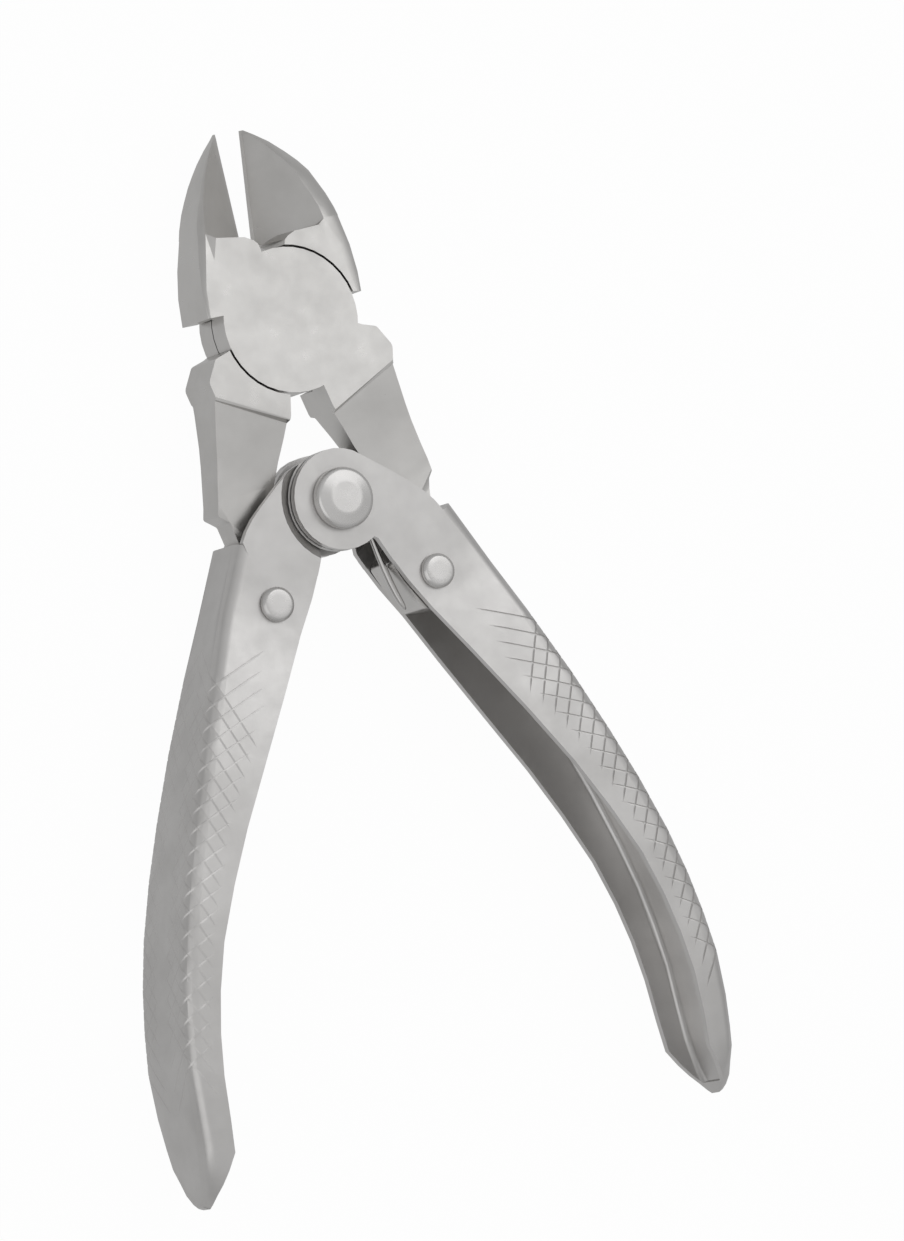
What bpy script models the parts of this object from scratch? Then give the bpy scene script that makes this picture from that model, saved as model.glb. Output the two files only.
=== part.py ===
"""Double-action wire cutter: two lapped jaws on one pivot, two pressed channel handles on another.

It lies flat. Z is the thickness, +Y points at the jaws, and the origin is on the handles' pivot,
in the flat face of that rivet's rear head. Heights in the functions count from the middle of the
thickness, which stands one lift above the origin.
"""

import math

import bmesh
import bpy

mm = 0.001

# Linkage at rest, which is fully open: the jaws' pivot and the two link pins, seen from the front
jaw_pivot_y = 31.6 * mm
right_pin = (13.96 * mm, -15.93 * mm)
left_pin = (-16.78 * mm, -14.67 * mm)

# Head
head_thick = 10.4 * mm
boss_radius = 12.5 * mm
boss_gap = 0.4 * mm
lap_gap = 0.3 * mm
blade_tip_y = 34.2 * mm
throat_above_boss = 2.5 * mm
throat_slant = 0.14
throat_lift = 0.9 * mm
front_heel_y = 2.9 * mm
rear_heel_y = 4.2 * mm
micro_bevel = (0.4 * mm, 0.9 * mm)
edge_offset = 1.13 * mm
edge_gap = 0.16 * mm
cheek_inset = 1.3 * mm
rim_chamfer = 1.2 * mm

# Blades, in rows of (height up the cutting edge in mm, value) about the jaws' pivot: how far the outer
# side stands from the edge in shares of the boss's radius, then in mm how wide the light land along
# that side is, how much the land falls outwards, and how far the outer side leans in to the front
front_blade = {
    "lean": math.radians(1.9),
    "foot": -0.1 * mm,
    "slope": 0.86,
    "outer": [
        (2.9, 1.144), (7.7, 1.112), (12.8, 1.024), (16.4, 0.936), (19.2, 0.864), (21.7, 0.784),
        (23.8, 0.696), (26.0, 0.596), (27.9, 0.492), (29.7, 0.384), (31.8, 0.236), (33.3, 0.108),
        (34.2, 0.040),
    ],
    "land": [(2.9, 0.4), (7.7, 0.6), (15.0, 1.1), (20.0, 0.9), (24.0, 0.45), (29.0, 0.3), (34.2, 0.1)],
    "fall": [(2.9, 0.3), (7.7, 0.6), (15.0, 1.2), (20.0, 1.0), (24.0, 0.4), (29.0, 0.2), (34.2, 0.0)],
    "draft": [(2.9, 0.6), (15.0, 0.0)],
}
rear_blade = {
    "lean": math.radians(9.2),
    "foot": -0.9 * mm,
    "slope": 1.03,
    "outer": [
        (4.2, 1.192), (7.7, 1.176), (12.8, 1.104), (16.6, 1.024), (19.5, 0.960), (21.7, 0.900),
        (24.0, 0.824), (26.0, 0.748), (27.9, 0.640), (29.7, 0.512), (31.8, 0.328), (33.3, 0.160),
        (34.2, 0.048),
    ],
    "land": [(4.2, 1.2), (10.0, 2.2), (17.2, 3.1), (20.6, 3.2), (24.3, 3.2), (29.2, 2.6), (33.0, 1.1), (34.2, 0.15)],
    "fall": [(4.2, 0.3), (17.2, 0.8), (24.3, 0.8), (29.2, 0.6), (34.2, 0.0)],
    "draft": [(4.2, 0.0)],
}

# Tails of the jaws
shoulder_beyond = 4.2 * mm
tail_thick = 8.0 * mm
neck_thick = 5.7 * mm
tongue_thick = 9.2 * mm
tail_width_out = 11.2 * mm
stop_gap = 0.35 * mm

# Handles: pressed channels of one sheet
sheet = 1.4 * mm
ear_radius = 8.7 * mm
ear_gap = 0.3 * mm
channel_half = 6.3 * mm
handle_length = 122.7 * mm
ear_clear = 3.5 * mm
spine_out = 17.0 * mm
mouth_in = 1.6 * mm
bend_radius = 2.4 * mm
ear_spread = 0.8 * mm
right_handle_lean = math.radians(21.4)
left_handle_lean = math.radians(27.3)

# Each handle's sides in rows of (share of its length, share of the spine's place or of the channel's
# depth): the spine's outer side, the free edges beyond the mouth's, and half of the depth
outer_rows = [
    (0.099, 1.000), (0.200, 1.027), (0.308, 1.029), (0.446, 1.008), (0.568, 0.953), (0.666, 0.874), (0.747, 0.759),
    (0.828, 0.582), (0.885, 0.406), (0.925, 0.271), (0.950, 0.194), (0.969, 0.118), (0.984, 0.059),
    (0.995, 0.012), (1.000, -0.012),
]
inner_rows = [
    (0.099, 0.000), (0.162, 0.026), (0.211, 0.082), (0.308, 0.171), (0.390, 0.250), (0.487, 0.332),
    (0.584, 0.374), (0.649, 0.371), (0.731, 0.300), (0.779, 0.218), (0.828, 0.112),
    (0.885, -0.053), (0.921, -0.176), (0.969, -0.171), (1.000, -0.159),
]
half_rows = [
    (0.099, 1.000), (0.200, 1.000), (0.284, 1.206), (0.390, 1.397), (0.503, 1.508), (0.649, 1.571),
    (0.828, 1.556), (0.885, 1.492), (0.925, 1.365), (0.950, 1.206), (0.969, 0.984), (0.984, 0.746),
    (0.995, 0.444), (1.000, 0.222),
]

# Rivets, bush and spring
main_shank = 3.0 * mm
main_head = 5.3 * mm
main_head_height = 2.4 * mm
link_shank = 2.1 * mm
link_head = 3.0 * mm
link_head_height = 1.3 * mm
jaw_shank = 3.6 * mm
fit_gap = 0.25 * mm
open_pin_gap = 0.6 * mm
seat_gap = 0.1 * mm
bush_wall = 0.8 * mm
wire = 1.3 * mm
coil_turns = 2.5
coil_pitch = 1.6 * mm
leg_offset = 1.15 * mm
leg_cant = 0.2 * mm
leg_bend = 4.3 * mm
leg_end = 10.8 * mm

right = 1
left = -1
screw_steps = 40
arc_step = math.radians(12)

half_head = head_thick / 2
throat_y = boss_radius + throat_above_boss
spine_top = -ear_radius - ear_clear
lift = channel_half + seat_gap + main_head_height
jaw_pivot = (0.0, jaw_pivot_y)
handle_pivot = (0.0, 0.0)


def clear_scene():
    for old in list(bpy.data.objects):
        bpy.data.objects.remove(old, do_unlink=True)


def new_collection(name):
    made = bpy.data.collections.new(name)
    bpy.context.scene.collection.children.link(made)
    return made


def new_material(name, color, roughness):
    made = bpy.data.materials.new(name)
    made.use_nodes = True
    shader = made.node_tree.nodes["Principled BSDF"]
    shader.inputs["Base Color"].default_value = (*color, 1.0)
    shader.inputs["Roughness"].default_value = roughness
    shader.inputs["Metallic"].default_value = 1.0
    return made


def rounded(corners):
    """An outline's points: each corner is (x, y, fillet radius), and a fillet becomes an arc."""
    points = []
    for i, (x, y, radius) in enumerate(corners):
        before = corners[i - 1]
        after = corners[(i + 1) % len(corners)]
        if radius == 0:
            points.append((x, y))
            continue
        to_before = math.atan2(before[1] - y, before[0] - x)
        to_after = math.atan2(after[1] - y, after[0] - x)
        turn = (to_after - to_before + math.pi) % (2 * math.pi) - math.pi
        reach = radius / abs(math.tan(turn / 2))
        middle = to_before + turn / 2
        centre_distance = radius / abs(math.sin(turn / 2))
        cx = x + centre_distance * math.cos(middle)
        cy = y + centre_distance * math.sin(middle)
        start = math.atan2(y + reach * math.sin(to_before) - cy, x + reach * math.cos(to_before) - cx)
        sweep = -math.copysign(math.pi - abs(turn), turn)
        count = max(2, round(abs(sweep) / arc_step))
        for k in range(count + 1):
            angle = start + sweep * k / count
            points.append((cx + radius * math.cos(angle), cy + radius * math.sin(angle)))
    return points


def arc(centre, radius, start, end):
    count = max(2, round(abs(end - start) / arc_step))
    turns = [start + (end - start) * k / count for k in range(count + 1)]
    return [(centre[0] + radius * math.cos(t), centre[1] + radius * math.sin(t)) for t in turns]


def interpolate(rows, at):
    """A value read off a short list of (place, value) rows, which run in rising place."""
    for (x0, v0), (x1, v1) in zip(rows, rows[1:]):
        if at <= x1:
            return v0 + (v1 - v0) * max(0.0, (at - x0) / (x1 - x0))
    return rows[-1][1]


def add_object(name, mesh, collection, origin=(0.0, 0.0)):
    made = bpy.data.objects.new(name, mesh)
    made.location = (origin[0], origin[1], lift)
    collection.objects.link(made)
    return made


def plate(name, outline, low, high, collection, origin=(0.0, 0.0)):
    """A flat outline made solid between two heights."""
    curve = bpy.data.curves.new(name, "CURVE")
    curve.dimensions = "2D"
    curve.fill_mode = "BOTH"
    curve.extrude = (high - low) / 2
    spline = curve.splines.new("POLY")
    spline.points.add(len(outline) - 1)
    for point, (x, y) in zip(spline.points, outline):
        point.co = (x, y, 0.0, 1.0)
    spline.use_cyclic_u = True
    drawn = add_object(name + "_curve", curve, collection)
    bpy.context.view_layer.update()
    graph = bpy.context.evaluated_depsgraph_get()
    mesh = bpy.data.meshes.new_from_object(drawn.evaluated_get(graph))
    shape = bmesh.new()
    shape.from_mesh(mesh)
    bmesh.ops.remove_doubles(shape, verts=shape.verts, dist=1e-6)
    bmesh.ops.translate(shape, verts=shape.verts, vec=(0.0, 0.0, (low + high) / 2))
    bmesh.ops.recalc_face_normals(shape, faces=shape.faces)
    shape.to_mesh(mesh)
    shape.free()
    bpy.data.objects.remove(drawn, do_unlink=True)
    return add_object(name, mesh, collection, origin)


def loft(name, rings, collection, origin=(0.0, 0.0)):
    """A solid through rings of points, each ring with the same number of points."""
    mesh = bpy.data.meshes.new(name)
    shape = bmesh.new()
    rows = [[shape.verts.new(point) for point in ring] for ring in rings]
    count = len(rings[0])
    for row, following in zip(rows, rows[1:]):
        for k in range(count):
            after = (k + 1) % count
            shape.faces.new((row[k], row[after], following[after], following[k]))
    shape.faces.new(rows[0])
    shape.faces.new(rows[-1])
    bmesh.ops.recalc_face_normals(shape, faces=shape.faces)
    shape.to_mesh(mesh)
    shape.free()
    return add_object(name, mesh, collection, origin)


def turned(name, profile, collection, origin=(0.0, 0.0), closed=False):
    """A profile of (radius, height) turned about the vertical through the origin."""
    mesh = bpy.data.meshes.new(name)
    points = [(radius, 0.0, height) for radius, height in profile]
    edges = [(k, k + 1) for k in range(len(points) - 1)]
    if closed:
        edges.append((len(points) - 1, 0))
    mesh.from_pydata(points, edges, [])
    made = add_object(name, mesh, collection, origin)
    screw = made.modifiers.new("Turn", "SCREW")
    screw.steps = screw_steps
    screw.render_steps = screw_steps
    screw.use_merge_vertices = True
    screw.merge_threshold = 1e-5
    screw.use_smooth_shade = True
    return made


def cylinder(name, radius, low, high, collection, origin=(0.0, 0.0)):
    mesh = bpy.data.meshes.new(name)
    shape = bmesh.new()
    bmesh.ops.create_cone(
        shape,
        cap_ends=True,
        segments=screw_steps,
        radius1=radius,
        radius2=radius,
        depth=high - low,
    )
    bmesh.ops.translate(shape, verts=shape.verts, vec=(0.0, 0.0, (low + high) / 2))
    shape.to_mesh(mesh)
    shape.free()
    return add_object(name, mesh, collection, origin)


def combine(target, other, operation):
    """Adds, cuts or keeps what is common with another object, which becomes a hidden helper."""
    other.hide_render = True
    other.display_type = "WIRE"
    step = target.modifiers.new(f"{operation.title()} {other.name}", "BOOLEAN")
    step.operation = operation
    step.solver = "EXACT"
    step.object = other
    return target


# Points of a jaw's blade: x away from the other blade, y up the cutting edge, about the jaws' pivot


def read_row(blade, name, y):
    unit = boss_radius if name == "outer" else mm
    return unit * interpolate(blade[name], y / mm)


def land_points(blade, edge, crest_height, y):
    """The light land from the bevel's crest to the outer side, then that side and the rear rim."""
    width = read_row(blade, "outer", y)
    land = read_row(blade, "land", y)
    top = crest_height - read_row(blade, "fall", y)
    draft = read_row(blade, "draft", y)
    crest = width - land
    rim = min(rim_chamfer / 3, 0.15 * width)
    return [
        (edge + crest - draft, crest_height),
        (edge + crest + land / 2 - draft, (crest_height + top) / 2 + 0.08 * land),
        (edge + width - 0.1 * rim - draft, top),
        (edge + width - draft, top - 0.1 * rim),
        (edge + width, -half_head + rim),
        (edge + width - rim, -half_head),
    ]


def full_section(blade, edge, x_in, y):
    """Across the cheek below the throat, at the head's full thickness."""
    rest = land_points(blade, edge, half_head, y)
    crest = rest[0][0]
    face = [(x_in + (crest - x_in) * share, half_head) for share in (0.0, 0.08, 0.25, 0.85)]
    return [(x_in, -half_head), (x_in, 0.0)] + face + rest


def bevel_section(blade, edge, y):
    """Across the blade: micro bevel, ground bevel, land and outer side. The edge lies in the rear face."""
    width = read_row(blade, "outer", y)
    run = min(micro_bevel[0], 0.25 * width)
    rise = min(micro_bevel[1], 0.6 * width)
    crest = width - read_row(blade, "land", y)
    crest_height = min(half_head, -half_head + rise + (crest - run) * blade["slope"])
    ground = []
    for share in (0.08, 0.16, 0.32, 0.87):
        ground.append((edge + run + (crest - run) * share, -half_head + rise + (crest_height + half_head - rise) * share))
    rest = land_points(blade, edge, crest_height, y)
    return [(edge, -half_head), (edge + run, -half_head + rise)] + ground + rest


def throat_rise(blade, edge, section):
    """How far up each point of a section stands at the throat, which dips at its inner end."""
    dips = [(0.0, 1.3), (0.9, 0.5), (2.4, 0.0)]
    inner = section[2][0]
    rises = [blade["foot"]] * 2
    for x, _ in section[2:6]:
        rises.append(throat_slant * (x - edge) - mm * interpolate(dips, (x - inner) / mm))
    for x, _ in section[6:]:
        rises.append(throat_slant * (x - edge) + throat_lift)
    return rises


def blade_rings(side, blade, edge, heel_y):
    """Rings from the heel to the tip, leaning clockwise about the pivot."""
    lean = blade["lean"]

    def stand(section, y, rises=None):
        ring = []
        for (x, z), rise in zip(section, rises or [0.0] * len(section)):
            up = y + rise
            across = side * x
            ring.append((
                across * math.cos(lean) + up * math.sin(lean),
                -across * math.sin(lean) + up * math.cos(lean),
                z,
            ))
        return ring

    inner = edge + cheek_inset
    land_y = throat_y + throat_slant * read_row(blade, "outer", throat_y) + throat_lift
    ground = bevel_section(blade, edge, land_y)
    cheek = full_section(blade, edge, inner + 0.3 * mm, land_y)[:6] + ground[6:]
    rings = [
        stand(full_section(blade, edge, inner + 2 * mm, heel_y), heel_y),
        stand(full_section(blade, edge, inner + 0.5 * mm, 7.7 * mm), 7.7 * mm),
        stand(full_section(blade, edge, inner, 12.4 * mm), 12.4 * mm),
        stand(cheek, throat_y - 0.2 * mm, throat_rise(blade, edge, cheek)),
        stand(ground, throat_y, throat_rise(blade, edge, ground)),
    ]
    for y in [station * mm for station in (19.2, 21.7, 23.8, 26.0, 27.9, 29.7, 31.8, 33.3)]:
        rings.append(stand(bevel_section(blade, edge, y), y))
    rings.append(stand(bevel_section(blade, edge, blade_tip_y), blade_tip_y))
    return rings


# Points of a jaw's tail: along from the jaws' pivot to the link pin, and out away from the middle


def tail_frame(pin, side):
    across = side * (pin[0] - jaw_pivot[0])
    down = jaw_pivot[1] - pin[1]
    return math.hypot(across, down), math.atan2(across, down)


def tail_point(along, out, side, lean):
    x = along * math.sin(lean) + out * math.cos(lean)
    y = -along * math.cos(lean) + out * math.sin(lean)
    return (side * x, y)


def handle_to_world(x, y, side, lean):
    return (
        side * (x * math.cos(lean) - y * math.sin(lean)),
        x * math.sin(lean) + y * math.cos(lean),
    )


def neck_out(side, lean, handle_lean):
    """The neck stands just inside the top edge of the handle's spine, which stops the opening."""
    corner = handle_to_world(spine_out - sheet, spine_top, side, handle_lean)
    x = side * corner[0]
    y = corner[1] - jaw_pivot[1]
    return x * math.cos(lean) + y * math.sin(lean) - stop_gap


def tail_outline(length, lean, side, neck):
    """Shoulder, waist, neck and tongue, round the link pin's eye."""
    throat = length - 9 * mm
    corners = [
        (0.4 * boss_radius, 0.72 * boss_radius, 0),
        (0.57 * boss_radius, 0.9 * boss_radius, 0),
        (0.69 * boss_radius, boss_radius + 0.9 * mm, 1.0 * mm),
        (boss_radius + 0.3 * mm, boss_radius + 1.8 * mm, 1.6 * mm),
        (boss_radius + 2.7 * mm, boss_radius + 0.4 * mm, 1.0 * mm),
        (25.7 * mm, tail_width_out, 0),
        (34.9 * mm, tail_width_out - 1.0 * mm, 0.6 * mm),
        (35.8 * mm, neck + 1.7 * mm, 1.0 * mm),
        (39.2 * mm, neck, 0),
        (length - 3 * mm, neck, 2.5 * mm),
        (length + 4.6 * mm, 5.4 * mm, 2.5 * mm),
        (length + 6.4 * mm, -0.6 * mm, 2.0 * mm),
        (length + 4.4 * mm, -5.0 * mm, 2.0 * mm),
        (length - 5.0 * mm, -5.8 * mm, 1.0 * mm),
        (throat + 1.2 * mm, -0.6 * mm, 2.0 * mm),
        (28.0 * mm, 0.1 * mm, 0),
        (16.4 * mm, -1.1 * mm, 0),
        (12.4 * mm, -0.7 * mm, 0),
        (10.0 * mm, -0.7 * mm, 0),
    ]
    return [tail_point(a, o, side, lean) for a, o in rounded(corners)]


def tail_side(length):
    """The tail's side: (along, half thickness in the middle of its width, gain of it per width)."""
    return [
        (-3.0 * mm, half_head, 0.0),
        (boss_radius + shoulder_beyond, half_head, 0.0),
        (boss_radius + shoulder_beyond + 0.6 * mm, tail_thick / 2, 0.06),
        (24.0 * mm, neck_thick / 2 + 0.15 * mm, 0.08),
        (34.0 * mm, neck_thick / 2, 0.06),
        (length - 8.4 * mm, neck_thick / 2, 0.0),
        (length - 6.6 * mm, tongue_thick / 2, 0.0),
        (length + 9.0 * mm, tongue_thick / 2, 0.0),
    ]


def side_slab(name, steps, lean, side, helpers):
    """The tail's side swept across its width, turned a little, as the shoulder's step runs."""
    slant = math.radians(8)
    half_width = 16 * mm
    rings = []
    for out in (-half_width, half_width):
        ring = []
        for sign, rows in ((1, steps), (-1, steps[::-1])):
            for along, half, gain in rows:
                a = along * math.cos(slant) - out * math.sin(slant)
                o = along * math.sin(slant) + out * math.cos(slant)
                x, y = tail_point(a, o, side, lean)
                ring.append((x, y, sign * (half + gain * out)))
        rings.append(ring)
    return loft(name, rings, helpers, jaw_pivot)


def make_jaw(name, blade_side, blade, edge, heel_y, pin, handle_lean, lap_up, pin_gap, parts, helpers, finish):
    """A jaw: blade and cheek on one side, half-thickness boss, tail on the other side."""
    tail_side_sign = -blade_side
    length, lean = tail_frame(pin, tail_side_sign)
    jaw = loft(name, blade_rings(blade_side, blade, edge, heel_y), parts, jaw_pivot)

    boss = cylinder(name + "_boss", boss_radius, -half_head, half_head, helpers, jaw_pivot)
    combine(jaw, boss, "UNION")

    neck = neck_out(tail_side_sign, lean, handle_lean)
    outline = tail_outline(length, lean, tail_side_sign, neck)
    tail = plate(name + "_tail", outline, -1.01 * half_head, 1.01 * half_head, helpers, jaw_pivot)
    combine(tail, side_slab(name + "_side", tail_side(length), lean, tail_side_sign, helpers), "INTERSECT")
    combine(jaw, tail, "UNION")

    # The other jaw's boss turns in this recess, over or under this jaw's own lap
    reach = 2 * half_head
    low, high = (-reach, lap_gap / 2) if lap_up else (-lap_gap / 2, reach)
    recess = cylinder(name + "_recess", boss_radius + boss_gap, low, high, helpers, jaw_pivot)
    combine(jaw, recess, "DIFFERENCE")

    eye = cylinder(name + "_eye", link_shank + pin_gap, -reach, reach, helpers, pin)
    combine(jaw, eye, "DIFFERENCE")
    jaw.data.materials.append(finish)
    return jaw


# Points of a handle: x away from the middle, y up from its end to its pivot


def handle_outer(y):
    """The spine's outer side along the handle."""
    return spine_out * interpolate(outer_rows, -y / handle_length)


def handle_inner(y):
    """The free edge of the handle's two side plates."""
    return mouth_in + spine_out * interpolate(inner_rows, -y / handle_length)


def handle_half(y):
    """Half of the channel's depth, which widens towards the grip and closes round the end."""
    return channel_half * interpolate(half_rows, -y / handle_length)


def channel_section(y, inset, side):
    """A section of the channel's outside, or of its hollow where inset is the sheet."""
    step = 0.5 * mm
    slope = (handle_outer(y + step) - handle_outer(y - step)) / (2 * step)
    x_out = handle_outer(y) - inset * math.hypot(1.0, slope)
    wall_side = handle_outer(y) - sheet * math.hypot(1.0, slope)
    half = handle_half(y) - inset
    x_in = min(handle_inner(y), wall_side - 0.05 * mm) - (4.0 * mm if inset else 0.0)
    bend = max(0.3 * mm, min(bend_radius - inset, 0.8 * half, 0.8 * (x_out - x_in)))
    section = [(x_in, half)]
    bends = 4
    for k in range(bends + 1):
        angle = math.pi / 2 * (1 - k / bends)
        section.append((x_out - bend + bend * math.cos(angle), half - bend + bend * math.sin(angle)))
    for k in range(bends + 1):
        angle = -math.pi / 2 * k / bends
        section.append((x_out - bend + bend * math.cos(angle), -half + bend + bend * math.sin(angle)))
    section.append((x_in, -half))
    return [(side * x, y, z) for x, z in section]


def handle_stations():
    shares = [1.0, 0.995, 0.984, 0.969, 0.95, 0.925, 0.885, 0.828, 0.773, 0.716, 0.649, 0.568, 0.487, 0.39, 0.284, 0.2]
    return [-handle_length * share for share in shares] + [spine_top - 6 * mm, spine_top]


def ear_outline(side, spread):
    """The plate round the pivot: a round ear that runs into the channel's side."""
    overlap = 1.8 * mm
    around = arc((0.0, 0.0), ear_radius, math.radians(38), math.radians(278))
    arm = [
        (mouth_in, -ear_radius - 0.6 * mm),
        (mouth_in + 0.05 * mm, spine_top - overlap),
        (spine_out - bend_radius, spine_top - overlap),
        (spine_out - 1.6 * mm + spread, spine_top + 0.3 * mm),
        (spine_out - 1.9 * mm + spread, -1.13 * ear_radius),
        (spine_out - 2.6 * mm + spread, -0.86 * ear_radius),
        (spine_out - 3.8 * mm + spread, -0.56 * ear_radius),
        (spine_out - 5.8 * mm + spread, -0.1 * ear_radius),
        (spine_out - 7.6 * mm + spread, 0.26 * ear_radius),
    ]
    return [(side * x, y) for x, y in around + arm]


def ear_slab(name, outer, up, helpers):
    """A sheet's thickness round the pivot: flat for the outer ear, pressed inwards for the inner one."""
    outside = channel_half
    drop = 0.0 if outer else sheet + ear_gap
    near = ear_radius + 0.4 * mm
    far = near + 2.0 * mm
    reach = 3 * spine_out
    heights = [
        (1.0 * mm, outside - drop),
        (near, outside - drop),
        (far, outside),
        (reach, outside),
        (reach, outside - sheet),
        (far, outside - sheet),
        (near, outside - sheet - drop),
        (1.0 * mm, outside - sheet - drop),
    ]
    if not up:
        heights = [(radius, -height) for radius, height in reversed(heights)]
    return turned(name, heights, helpers, handle_pivot, closed=True)


def make_handle(name, side, lean, pin, parts, helpers, finish):
    """A pressed channel with two ears: the right one's front ear is the outer one, the left one's the inner."""
    rings = [channel_section(y, 0.0, side) for y in handle_stations()]
    handle = loft(name, rings, parts, handle_pivot)
    handle.rotation_euler.z = side * lean

    hollow_stations = [y for y in handle_stations() if y > -0.99 * handle_length]
    hollow_rings = [channel_section(y, sheet, side) for y in hollow_stations]
    top = [(x, spine_top + 5 * mm, z) for x, _, z in hollow_rings[-1]]
    hollow = loft(name + "_hollow", hollow_rings + [top], helpers, handle_pivot)
    hollow.rotation_euler.z = side * lean
    combine(handle, hollow, "DIFFERENCE")

    for label, up in (("front", True), ("back", False)):
        outer = (side == right) == up
        outline = ear_outline(side, -ear_spread if outer else ear_spread)
        ear = plate(f"{name}_{label}_ear", outline, -2 * channel_half, 2 * channel_half, helpers)
        ear.rotation_euler.z = side * lean
        combine(ear, ear_slab(f"{name}_{label}_slab", outer, up, helpers), "INTERSECT")
        combine(handle, ear, "UNION")

    reach = 2 * channel_half
    bore = cylinder(name + "_bore", main_shank + fit_gap, -reach, reach, helpers, handle_pivot)
    combine(handle, bore, "DIFFERENCE")
    eye = cylinder(name + "_eye", link_shank + fit_gap, -reach, reach, helpers, pin)
    combine(handle, eye, "DIFFERENCE")
    handle.data.materials.append(finish)
    return handle


def rivet_profile(shank, head, height, seat, dome, chamfer):
    """Half outline of a rivet with two equal heads, from the top centre down the outside."""
    face = seat + height
    upper = [
        (0.0, face),
        (0.6 * (head - chamfer), face),
        (head - chamfer, face - dome),
        (head, face - dome - chamfer),
        (head, seat),
        (shank, seat),
    ]
    return upper + [(radius, -z) for radius, z in reversed(upper)]


def make_main_rivet(parts, finish):
    seat = channel_half + seat_gap
    profile = rivet_profile(main_shank, main_head, main_head_height, seat, 0.35 * mm, 0.5 * mm)
    rivet = turned("main_pivot_rivet", profile, parts, handle_pivot)
    rivet.data.materials.append(finish)
    return rivet


def make_link_rivet(name, pin, parts, finish):
    seat = channel_half + seat_gap
    profile = rivet_profile(link_shank, link_head, link_head_height, seat, 0.05 * mm, 0.55 * mm)
    rivet = turned(name, profile, parts, pin)
    rivet.data.materials.append(finish)
    return rivet


def jaw_rivet_profile(gap):
    """The jaws' rivet, countersunk in the rear face and blind in the front jaw."""
    bottom = -half_head
    sink = 1.6 * mm
    blind = half_head - 1.4 * mm
    return [
        (0.0, blind + gap),
        (jaw_shank + gap, blind + gap),
        (jaw_shank + gap, bottom + sink),
        (jaw_shank + sink + gap, bottom + 0.3 * mm),
        (jaw_shank + sink + gap, bottom),
        (0.0, bottom),
    ]


def make_jaw_rivet(parts, helpers, jaws, finish):
    rivet = turned("jaw_pivot_rivet", jaw_rivet_profile(0.0), parts, jaw_pivot)
    rivet.data.materials.append(finish)
    for jaw in jaws:
        profile = jaw_rivet_profile(fit_gap)
        profile[-2] = (profile[-2][0], -2 * half_head)
        profile[-1] = (0.0, -2 * half_head)
        bore = turned(jaw.name + "_pivot_bore", profile, helpers, jaw_pivot)
        combine(jaw, bore, "DIFFERENCE")
    return rivet


def make_bush(parts, finish):
    """The sleeve on the main rivet between the inner ears, inside the spring's coil."""
    half = channel_half - 2 * sheet - ear_gap - fit_gap
    inside = main_shank + fit_gap
    profile = [(inside + bush_wall, half), (inside + bush_wall, -half), (inside, -half), (inside, half)]
    bush = turned("spring_bush", profile, parts, handle_pivot, closed=True)
    bush.data.materials.append(finish)
    return bush


def leg_points(side, lean, coil_radius, z):
    """A spring leg's bend and end in a handle's mouth, and where it meets the coil."""
    bend = handle_to_world(mouth_in - leg_offset, spine_top - leg_bend, side, lean)
    end = handle_to_world(mouth_in - leg_offset - leg_cant, spine_top - leg_end, side, lean)
    distance = math.hypot(*bend)
    toward = math.atan2(bend[1], bend[0])
    touch = toward + side * math.acos(coil_radius / distance)
    return [(end[0], end[1], z), (bend[0], bend[1], z)], touch


def make_spring(parts, finish):
    """A torsion spring of round wire: its coil sits on the bush, its legs press the tongues outwards."""
    radius = main_shank + fit_gap + bush_wall + 0.3 * mm + wire / 2
    rise = coil_turns * coil_pitch / 2
    right_leg, start = leg_points(right, right_handle_lean, radius, rise)
    left_leg, end = leg_points(left, left_handle_lean, radius, -rise)
    sweep = (end - start) % (2 * math.pi) + 2 * math.pi * int(coil_turns)
    count = round(sweep / math.radians(18))
    coil = []
    for k in range(count + 1):
        angle = start + sweep * k / count
        coil.append((radius * math.cos(angle), radius * math.sin(angle), rise - 2 * rise * k / count))
    points = right_leg + coil + left_leg[::-1]
    curve = bpy.data.curves.new("return_spring", "CURVE")
    curve.dimensions = "3D"
    curve.bevel_depth = wire / 2
    curve.bevel_resolution = 2
    curve.use_fill_caps = True
    spline = curve.splines.new("POLY")
    spline.points.add(len(points) - 1)
    for point, co in zip(spline.points, points):
        point.co = (*co, 1.0)
    spring = add_object("return_spring", curve, parts, handle_pivot)
    spring.data.materials.append(finish)
    return spring


def main():
    clear_scene()
    parts = new_collection("wire_cutter")
    helpers = new_collection("wire_cutter_cutters")
    jaw_steel = new_material("jaw_steel", (0.66, 0.65, 0.63), 0.32)
    handle_steel = new_material("handle_steel", (0.62, 0.61, 0.59), 0.36)
    rivet_steel = new_material("rivet_steel", (0.70, 0.68, 0.66), 0.25)
    spring_steel = new_material("spring_steel", (0.50, 0.49, 0.48), 0.28)

    front_edge = edge_offset + edge_gap / 2
    rear_edge = edge_gap / 2 - edge_offset
    front_jaw = make_jaw(
        "front_jaw", left, front_blade, front_edge, front_heel_y, right_pin,
        right_handle_lean, True, fit_gap, parts, helpers, jaw_steel,
    )
    rear_jaw = make_jaw(
        "rear_jaw", right, rear_blade, rear_edge, rear_heel_y, left_pin,
        left_handle_lean, False, open_pin_gap, parts, helpers, jaw_steel,
    )
    make_jaw_rivet(parts, helpers, (front_jaw, rear_jaw), rivet_steel)

    make_handle("right_handle", right, right_handle_lean, right_pin, parts, helpers, handle_steel)
    make_handle("left_handle", left, left_handle_lean, left_pin, parts, helpers, handle_steel)
    make_main_rivet(parts, rivet_steel)
    make_link_rivet("right_link_rivet", right_pin, parts, rivet_steel)
    make_link_rivet("left_link_rivet", left_pin, parts, rivet_steel)
    make_bush(parts, rivet_steel)
    make_spring(parts, spring_steel)


main()
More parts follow.
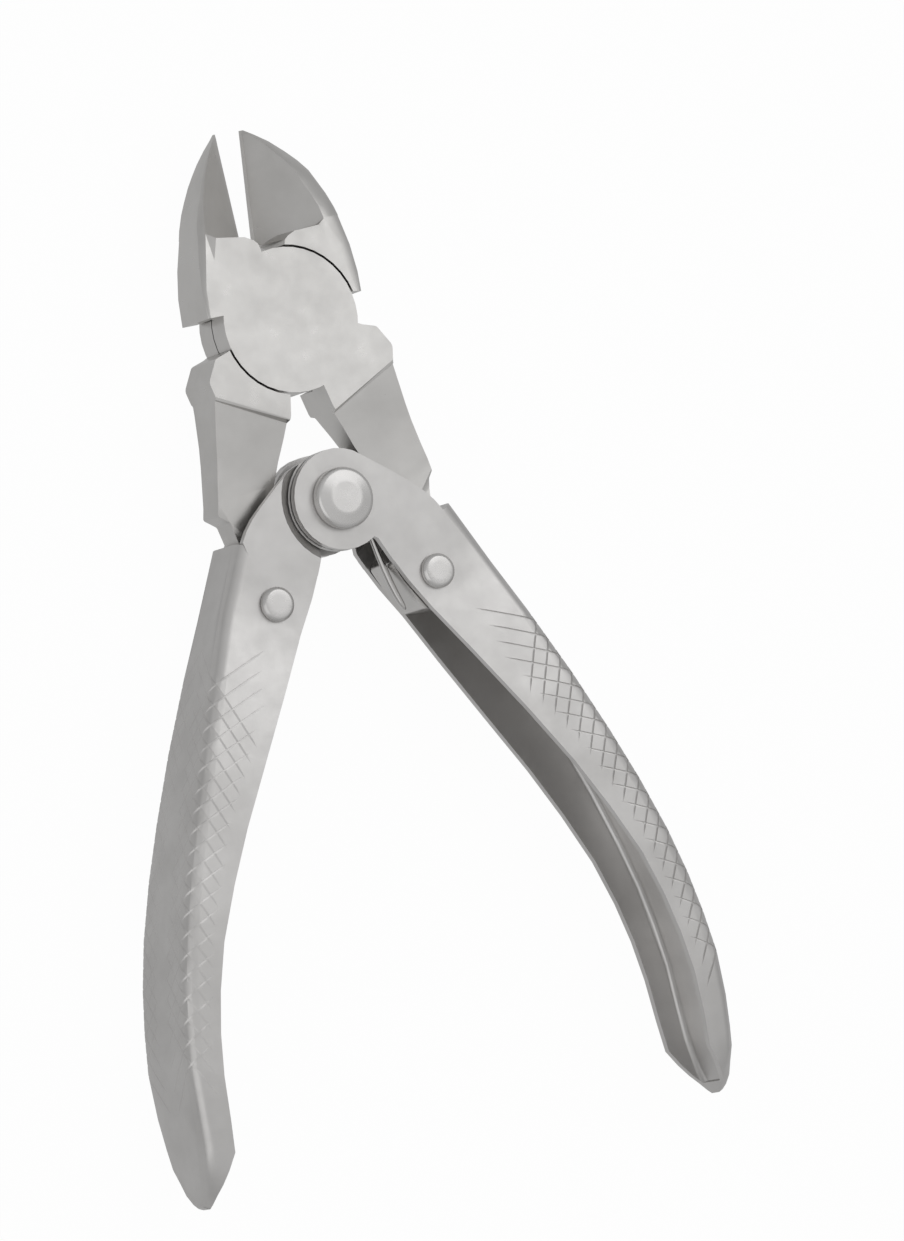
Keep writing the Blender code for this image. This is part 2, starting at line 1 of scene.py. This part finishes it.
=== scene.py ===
import math

import bmesh
import bpy
from mathutils import Matrix, Vector
from mathutils.bvhtree import BVHTree


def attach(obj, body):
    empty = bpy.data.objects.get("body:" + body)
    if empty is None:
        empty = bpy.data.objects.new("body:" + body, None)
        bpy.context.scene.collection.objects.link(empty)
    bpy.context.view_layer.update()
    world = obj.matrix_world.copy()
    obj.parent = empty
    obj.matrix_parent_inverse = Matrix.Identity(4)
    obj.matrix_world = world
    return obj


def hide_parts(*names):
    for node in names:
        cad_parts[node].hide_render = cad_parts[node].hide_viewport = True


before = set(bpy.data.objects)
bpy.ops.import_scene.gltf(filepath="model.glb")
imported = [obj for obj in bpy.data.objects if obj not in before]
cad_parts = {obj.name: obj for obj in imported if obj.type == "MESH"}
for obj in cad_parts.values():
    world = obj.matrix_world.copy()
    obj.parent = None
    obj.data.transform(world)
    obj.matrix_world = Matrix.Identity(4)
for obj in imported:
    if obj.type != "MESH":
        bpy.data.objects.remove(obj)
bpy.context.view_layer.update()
mm = 0.001
lift = 8.8 * mm  # the middle of the thickness above the origin
print("frame loaded:", len(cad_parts), "nodes")


# camera, floor and light

viewSettings = {
    "right": (0.86971, -0.25527, 0.42243),
    "up": (0.22688, 0.96685, 0.11715),
    "back": (-0.43833, -0.00604, 0.89879),
    "offset": (21.455 * mm, -19.944 * mm, 1500 * mm),  # the camera's place along those three
    "frameHeight": 211.24 * mm,  # what the frame's height spans at that distance
    "clipEnd": 20,
}


def addCamera(s):
    right, up, back = Vector(s["right"]), Vector(s["up"]), Vector(s["back"])
    dx, dy, dz = s["offset"]
    place = right * dx + up * dy + back * dz + Vector((0, 0, lift))
    bpy.ops.object.camera_add(location=place)
    camera = bpy.context.object
    turn = Matrix((right, up, back)).transposed()
    camera.rotation_euler = turn.to_euler()
    camera.data.lens = camera.data.sensor_width * dz / s["frameHeight"]
    camera.data.clip_end = s["clipEnd"]
    bpy.context.scene.camera = camera


studioSettings = {
    "floorHeight": -1.1 * mm,
    "floorSize": 12.0,
    "floorColor": 0.86,  # as lit, for light that bounces on
    "floorGlow": 0.97,  # share of plain white in what the camera sees
    "floorMirrored": 0.52,  # what the metal sees of the floor
    "worldStops": ((0.0, 0.38), (0.45, 0.50), (0.95, 0.64)),  # height and grey, upwards
    "lamps": {
        "keyLamp": {"place": (0.55, 0.45, 0.95), "size": 0.8, "power": 1.3},
        "fillLamp": {"place": (-0.8, -0.2, 0.7), "size": 0.9, "power": 0.9},
    },
}


def link(tree, a, b):
    tree.links.new(a, b)


def grey(value):
    return (value,) * 3 + (1,)


def addFloor(s):
    bpy.ops.mesh.primitive_plane_add(size=s["floorSize"], location=(0, 0, s["floorHeight"]))
    floor = bpy.context.object
    floor.name = "studioFloor"
    paint = bpy.data.materials.new("studioFloor")
    paint.use_nodes = True
    tree = paint.node_tree
    tree.nodes.clear()
    out = tree.nodes.new("ShaderNodeOutputMaterial")
    path = tree.nodes.new("ShaderNodeLightPath")
    matte = tree.nodes.new("ShaderNodeBsdfDiffuse")
    matte.inputs["Color"].default_value = grey(s["floorColor"])
    white = tree.nodes.new("ShaderNodeEmission")
    white.inputs["Strength"].default_value = 1.0
    seen = tree.nodes.new("ShaderNodeMixShader")
    seen.inputs[0].default_value = s["floorGlow"]
    link(tree, matte.outputs[0], seen.inputs[1])
    link(tree, white.outputs[0], seen.inputs[2])
    mirrored = tree.nodes.new("ShaderNodeEmission")
    mirrored.inputs["Strength"].default_value = s["floorMirrored"]
    forCamera = tree.nodes.new("ShaderNodeMixShader")
    link(tree, path.outputs["Is Camera Ray"], forCamera.inputs[0])
    link(tree, matte.outputs[0], forCamera.inputs[1])
    link(tree, seen.outputs[0], forCamera.inputs[2])
    forGloss = tree.nodes.new("ShaderNodeMixShader")
    link(tree, path.outputs["Is Glossy Ray"], forGloss.inputs[0])
    link(tree, forCamera.outputs[0], forGloss.inputs[1])
    link(tree, mirrored.outputs[0], forGloss.inputs[2])
    link(tree, forGloss.outputs[0], out.inputs["Surface"])
    floor.data.materials.append(paint)


def addWorld(s):
    world = bpy.data.worlds.new("studio")
    bpy.context.scene.world = world
    world.use_nodes = True
    tree = world.node_tree
    background = tree.nodes["Background"]
    direction = tree.nodes.new("ShaderNodeTexCoord")
    split = tree.nodes.new("ShaderNodeSeparateXYZ")
    ramp = tree.nodes.new("ShaderNodeValToRGB")
    link(tree, direction.outputs["Generated"], split.inputs[0])
    link(tree, split.outputs["Z"], ramp.inputs[0])
    low, middle, high = s["worldStops"]
    stops = ramp.color_ramp.elements
    stops[0].position, stops[1].position = low[0], high[0]
    stops.new(middle[0])
    for stop, (height, shade) in zip(stops, s["worldStops"]):
        stop.color = grey(shade)
    link(tree, ramp.outputs[0], background.inputs["Color"])
    background.inputs["Strength"].default_value = 1.0


def addLamp(name, s):
    bpy.ops.object.light_add(type="AREA", location=s["place"])
    lamp = bpy.context.object
    lamp.name = name
    lamp.data.size = s["size"]
    lamp.data.energy = s["power"]
    lamp.rotation_euler = (-Vector(s["place"])).to_track_quat("-Z", "Y").to_euler()  # at the origin


addCamera(viewSettings)
addFloor(studioSettings)
addWorld(studioSettings)
for lampName, lampSettings in studioSettings["lamps"].items():
    addLamp(lampName, lampSettings)
print("studio ready")


# finishes

jawFinish = {
    "tone": (0.69, 0.68, 0.665),
    "shade": (0.60, 0.59, 0.575),
    "roughness": (0.26, 0.38),
    "grain": 0.05,
}
handleFinish = {
    "tone": (0.67, 0.66, 0.65),
    "shade": (0.58, 0.57, 0.56),
    "roughness": (0.30, 0.42),
    "grain": 0.08,
}
rivetFinish = {
    "tone": (0.71, 0.70, 0.69),
    "shade": (0.63, 0.62, 0.61),
    "roughness": (0.22, 0.32),
    "grain": 0.04,
}
springFinish = {
    "tone": (0.62, 0.61, 0.60),
    "shade": (0.50, 0.49, 0.48),
    "roughness": (0.16, 0.26),
    "grain": 0.03,
}
surfaceSettings = {  # the same on every steel
    "cloud": {"Scale": 60.0, "Detail": 4.0, "Roughness": 0.6},  # slow change of tone
    "cloudSpan": (0.3, 0.62),
    "smudge": {"Scale": 220.0, "Detail": 6.0, "Roughness": 0.65},  # change of gloss
    "smudgeSpan": (0.3, 0.7),
    "grain": {"Scale": 2600.0, "Detail": 2.0},
    "grainHeight": 0.05 * mm,
}


def makeNode(tree, kind, **values):
    node = tree.nodes.new(kind)
    for name, value in values.items():
        node.inputs[name].default_value = value
    return node


def satinSteel(name, finish, s):
    steel = bpy.data.materials.new(name)
    steel.use_nodes = True
    tree = steel.node_tree
    shader = tree.nodes["Principled BSDF"]
    shader.inputs["Metallic"].default_value = 1.0
    place = makeNode(tree, "ShaderNodeTexCoord")

    cloud = makeNode(tree, "ShaderNodeTexNoise", **s["cloud"])
    link(tree, place.outputs["Object"], cloud.inputs["Vector"])
    tones = makeNode(tree, "ShaderNodeValToRGB")
    for stop, at, color in zip(tones.color_ramp.elements, s["cloudSpan"], ("shade", "tone")):
        stop.position = at
        stop.color = finish[color] + (1,)
    link(tree, cloud.outputs["Fac"], tones.inputs[0])
    link(tree, tones.outputs[0], shader.inputs["Base Color"])

    smudge = makeNode(tree, "ShaderNodeTexNoise", **s["smudge"])
    link(tree, place.outputs["Object"], smudge.inputs["Vector"])
    rough = makeNode(tree, "ShaderNodeMapRange")
    rough.inputs["From Min"].default_value, rough.inputs["From Max"].default_value = s["smudgeSpan"]
    rough.inputs["To Min"].default_value, rough.inputs["To Max"].default_value = finish["roughness"]
    link(tree, smudge.outputs["Fac"], rough.inputs["Value"])
    link(tree, rough.outputs[0], shader.inputs["Roughness"])

    grain = makeNode(tree, "ShaderNodeTexNoise", **s["grain"])
    link(tree, place.outputs["Object"], grain.inputs["Vector"])
    bump = makeNode(tree, "ShaderNodeBump", Strength=finish["grain"], Distance=s["grainHeight"])
    link(tree, grain.outputs["Fac"], bump.inputs["Height"])
    link(tree, bump.outputs[0], shader.inputs["Normal"])
    return steel


steels = {
    "jaw_steel": satinSteel("jawSteel", jawFinish, surfaceSettings),
    "handle_steel": satinSteel("handleSteel", handleFinish, surfaceSettings),
    "rivet_steel": satinSteel("rivetSteel", rivetFinish, surfaceSettings),
    "spring_steel": satinSteel("springSteel", springFinish, surfaceSettings),
}


def dress(piece, slotName):
    piece.data.materials.clear()
    piece.data.materials.append(steels[slotName])


# jaws, handles and rivets: the frame's own shapes with their edges eased

easedSettings = {  # the body that carries it, width of the eased edge, from which angle, steel
    "front_jaw": {"body": "front_jaw", "edge": 0.22 * mm, "from": 24, "steel": "jaw_steel"},
    "rear_jaw": {"body": "rear_jaw", "edge": 0.22 * mm, "from": 24, "steel": "jaw_steel"},
    "right_handle": {"body": "right_handle", "edge": 0.3 * mm, "from": 28, "steel": "handle_steel"},
    "left_handle": {"body": "left_handle", "edge": 0.3 * mm, "from": 28, "steel": "handle_steel"},
    "main_pivot_rivet": {"body": "right_handle", "edge": 0.34 * mm, "from": 10, "steel": "rivet_steel"},
    "right_link_rivet": {"body": "right_handle", "edge": 0.2 * mm, "from": 20, "steel": "rivet_steel"},
    "left_link_rivet": {"body": "left_handle", "edge": 0.2 * mm, "from": 20, "steel": "rivet_steel"},
    "jaw_pivot_rivet": {"body": "front_jaw", "edge": 0.1 * mm, "from": 20, "steel": "rivet_steel"},
    "spring_bush": {"body": "right_handle", "edge": 0.12 * mm, "from": 20, "steel": "rivet_steel"},
}
meshSettings = {
    "mergeWithin": 0.002 * mm,
    "flatWithin": 0.8,  # degrees
    "edgeSteps": 3,
    "smoothBelow": 32,  # degrees
    "flatWeight": 60,
    "springLevels": 2,
}
gripSettings = {
    "right_handle": {"side": 1, "lean": math.radians(21.4)},
    "left_handle": {"side": -1, "lean": math.radians(27.3)},
    "start": 37 * mm,  # from the pivot, along the handle
    "end": 101 * mm,
    "spacing": 3.55 * mm,
    "groove": 0.24 * mm,
    "above": 0.06 * mm,  # height of a groove's middle above the surface
    "bend": 2.4 * mm,
    "overSpine": 5.6 * mm,
    "overPlate": ((37, 6.0), (42, 7.4), (47, 6.2), (60, 4.2), (75, 3.4), (101, 2.4)),
    "plateAhead": 3 * mm,  # where on the plate the reach is read
    "steps": 22,
    "taper": (0.35, 0.3),  # a groove's width at its end, and what each step adds
    "slopeRise": 0.3,  # the two families are cut at heights of their own
    "tries": 6,
    "tryRise": 0.13,
    "leastVolume": 0.99,
}


def selectOnly(piece):
    bpy.ops.object.select_all(action="DESELECT")
    bpy.context.view_layer.objects.active = piece
    piece.select_set(True)


def mergedCopy(nodeName, s):
    piece = bpy.data.objects.new(nodeName + "_eased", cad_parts[nodeName].data.copy())
    bpy.context.collection.objects.link(piece)
    selectOnly(piece)
    bpy.ops.object.mode_set(mode="EDIT")
    bpy.ops.mesh.select_all(action="SELECT")
    bpy.ops.mesh.remove_doubles(threshold=s["mergeWithin"])
    bpy.ops.mesh.customdata_custom_splitnormals_clear()
    bpy.ops.mesh.dissolve_limited(angle_limit=math.radians(s["flatWithin"]))
    bpy.ops.mesh.normals_make_consistent(inside=False)
    bpy.ops.object.mode_set(mode="OBJECT")
    return piece


def easeEdges(piece, width, fromAngle, steps):
    ease = piece.modifiers.new("ease", "BEVEL")
    ease.width = width
    ease.segments = steps
    ease.limit_method = "ANGLE"
    ease.angle_limit = math.radians(fromAngle)
    ease.miter_outer = "MITER_ARC"
    selectOnly(piece)
    bpy.ops.object.modifier_apply(modifier="ease")


# how far the grip's pattern reaches over the side plate
def platePart(s, along):
    rows = s["overPlate"]
    for (a0, v0), (a1, v1) in zip(rows, rows[1:]):
        if along <= a1 * mm:
            return mm * (v0 + (v1 - v0) * max(0.0, (along / mm - a0) / (a1 - a0)))
    return rows[-1][1] * mm


# a place on the handle and its normal: along it, and around its corner from spine (minus) to plate
def gripPoint(surface, s, hold, along, around, face):
    turn = Matrix.Rotation(hold["lean"] * hold["side"], 3, "Z")
    clear = 40 * mm  # where a ray towards the spine starts
    over = 30 * mm  # and one towards the plate

    def toWorld(x, y, z):
        return turn @ Vector((hold["side"] * x, y, z)) + Vector((0, 0, lift))

    out = turn @ Vector((hold["side"], 0, 0))
    spine = surface.ray_cast(toWorld(clear, -along, 0), -out)[0]
    reach = abs((turn.transposed() @ (spine - Vector((0, 0, lift))))[0])
    bend = s["bend"]
    aside = toWorld(reach - 1.2 * bend, -along, over * face)
    top = surface.ray_cast(aside, Vector((0, 0, -face)))[0]
    half = abs(top.z - lift)
    arcHalf = bend * math.pi / 4
    if around > arcHalf:
        place = toWorld(reach - bend - (around - arcHalf), -along, half * face)
    elif around < -arcHalf:
        place = toWorld(reach, -along, (half - bend + around + arcHalf) * face)
    else:
        angle = math.pi / 4 + around / bend
        inwards = reach - bend + bend * math.cos(angle)
        place = toWorld(inwards, -along, (half - bend + bend * math.sin(angle)) * face)
    return surface.find_nearest(place)[:2]


def surfaceTree(piece):
    shape = bmesh.new()
    shape.from_mesh(piece.data)
    tree = BVHTree.FromBMesh(shape)
    shape.free()
    return tree


def openEdges(mesh):
    shape = bmesh.new()
    shape.from_mesh(mesh)
    count = sum(1 for edge in shape.edges if len(edge.link_faces) != 2)
    volume = shape.calc_volume()
    shape.free()
    return count, volume


def cutGrooves(piece, lines, s, above):
    drawn = bpy.data.curves.new("grooves", "CURVE")
    drawn.dimensions = "3D"
    drawn.bevel_depth = s["groove"]
    drawn.bevel_resolution = 0
    drawn.use_fill_caps = True
    thin, gain = s["taper"]
    for places in lines:
        line = drawn.splines.new("POLY")
        line.points.add(len(places) - 1)
        last = len(places) - 1
        for i, (spot, normal) in enumerate(places):
            line.points[i].co = (*(spot + normal * above), 1)
            line.points[i].radius = min(1.0, thin + gain * i, thin + gain * (last - i))
    cutter = bpy.data.objects.new("grooves", drawn)
    bpy.context.collection.objects.link(cutter)
    selectOnly(cutter)
    bpy.ops.object.convert(target="MESH")
    cut = piece.modifiers.new("grooves", "BOOLEAN")
    cut.operation = "DIFFERENCE"
    cut.solver = "EXACT"
    cut.object = cutter
    selectOnly(piece)
    bpy.ops.object.modifier_apply(modifier="grooves")
    bpy.data.objects.remove(cutter, do_unlink=True)
    bpy.ops.object.mode_set(mode="EDIT")
    bpy.ops.mesh.select_all(action="SELECT")
    bpy.ops.mesh.dissolve_degenerate(threshold=0.001 * mm)
    bpy.ops.object.mode_set(mode="OBJECT")


# one family of the grip's crossing grooves, cut round one corner of the channel
def addGrooves(piece, surface, s, hold, face, slope):
    arcHalf = s["bend"] * math.pi / 4
    low = -arcHalf - s["overSpine"]
    steps = s["steps"]
    lines = []
    for k in range(int((s["end"] - s["start"]) / s["spacing"]) + 1):
        middle = s["start"] + s["spacing"] * k
        high = arcHalf + platePart(s, middle + slope * (arcHalf + s["plateAhead"]))
        arounds = [low + (high - low) * i / steps for i in range(steps + 1)]
        lines.append([gripPoint(surface, s, hold, middle + slope * a, a, face) for a in arounds])
    whole = piece.data.copy()
    volume = openEdges(whole)[1]
    for tries in range(s["tries"]):  # a cut that leaves the mesh open is made again a little higher
        above = s["above"] * (1.0 + s["slopeRise"] * slope + s["tryRise"] * tries)
        cutGrooves(piece, lines, s, above)
        count, left = openEdges(piece.data)
        if count == 0 and left > s["leastVolume"] * volume:
            return
        piece.data = whole.copy()
    print("grooves left out", hold, face, slope)


for nodeName, s in easedSettings.items():
    piece = mergedCopy(nodeName, meshSettings)
    easeEdges(piece, s["edge"], s["from"], meshSettings["edgeSteps"])
    if nodeName in gripSettings:
        surface = surfaceTree(piece)
        for face in (1, -1):
            for slope in (1, -1):
                addGrooves(piece, surface, gripSettings, gripSettings[nodeName], face, slope)
    selectOnly(piece)
    bpy.ops.object.shade_smooth_by_angle(angle=math.radians(meshSettings["smoothBelow"]))
    flat = piece.modifiers.new("flat", "WEIGHTED_NORMAL")  # the large faces keep their flat look
    flat.keep_sharp = True
    flat.weight = meshSettings["flatWeight"]
    bpy.ops.object.modifier_apply(modifier="flat")
    dress(piece, s["steel"])
    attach(piece, s["body"])
    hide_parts(nodeName)
    print(nodeName, "eased:", len(piece.data.polygons), "faces")

spring = mergedCopy("return_spring", meshSettings)
rounder = spring.modifiers.new("rounder", "SUBSURF")
rounder.levels = meshSettings["springLevels"]
selectOnly(spring)
bpy.ops.object.modifier_apply(modifier="rounder")
bpy.ops.object.shade_smooth()
dress(spring, "spring_steel")
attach(spring, "right_handle")
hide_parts("return_spring")
print("spring smoothed")

bpy.context.scene.view_settings.view_transform = "Standard"
